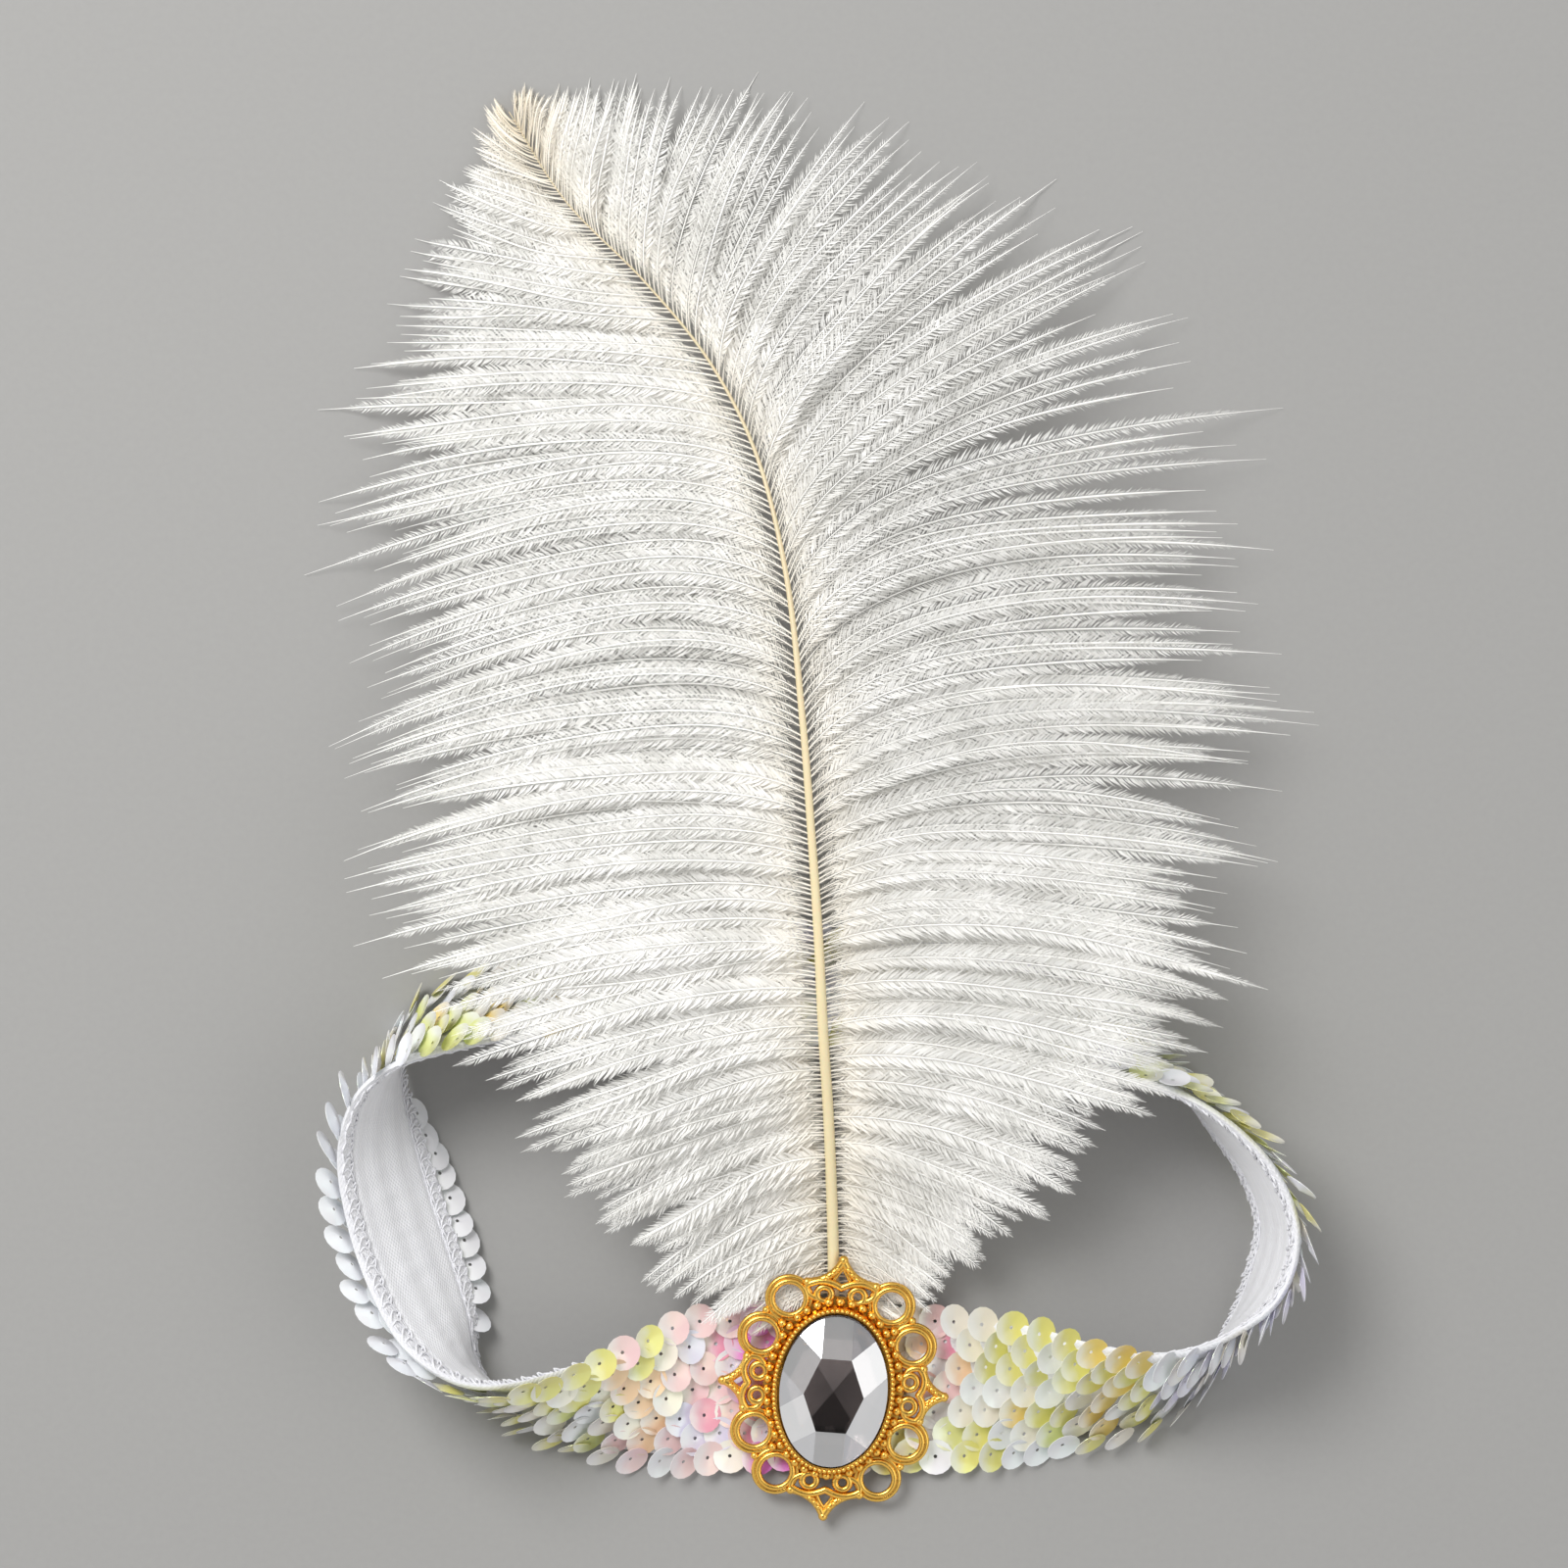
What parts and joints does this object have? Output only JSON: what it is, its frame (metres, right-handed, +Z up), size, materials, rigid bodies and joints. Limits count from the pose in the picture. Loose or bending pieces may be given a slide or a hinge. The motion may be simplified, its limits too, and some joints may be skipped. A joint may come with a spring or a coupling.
{
  "type": "flapper headband",
  "caption": "Flapper headband lying open: a sequinned elastic loop with a gilt filigree brooch, an oval cut stone and an ostrich plume that arches back over the loop.",
  "frame": {"origin": "middle of the foot of the bounding box, on the table that the headband lies on", "axes": "+Z up from the table, +Y along the plume from the brooch to its tip, +X to the right seen from above"},
  "size_m": [0.16, 0.2324, 0.031],
  "materials": {
    "elastic": "white woven elastic, matt",
    "sequin": "white iridescent film, glossy",
    "gold": "gilt, polished",
    "crystal": "clear cut stone with a silver foil back",
    "quill": "cream, satin",
    "plume": "white down, matt"
  },
  "bodies": {
    "root": {"elastic_band": "elastic", "sequin_field": "sequin", "setting": "gold", "stone": "crystal", "quill": "quill", "plume_left": "plume", "plume_right": "plume"}
  },
  "joints": []
}
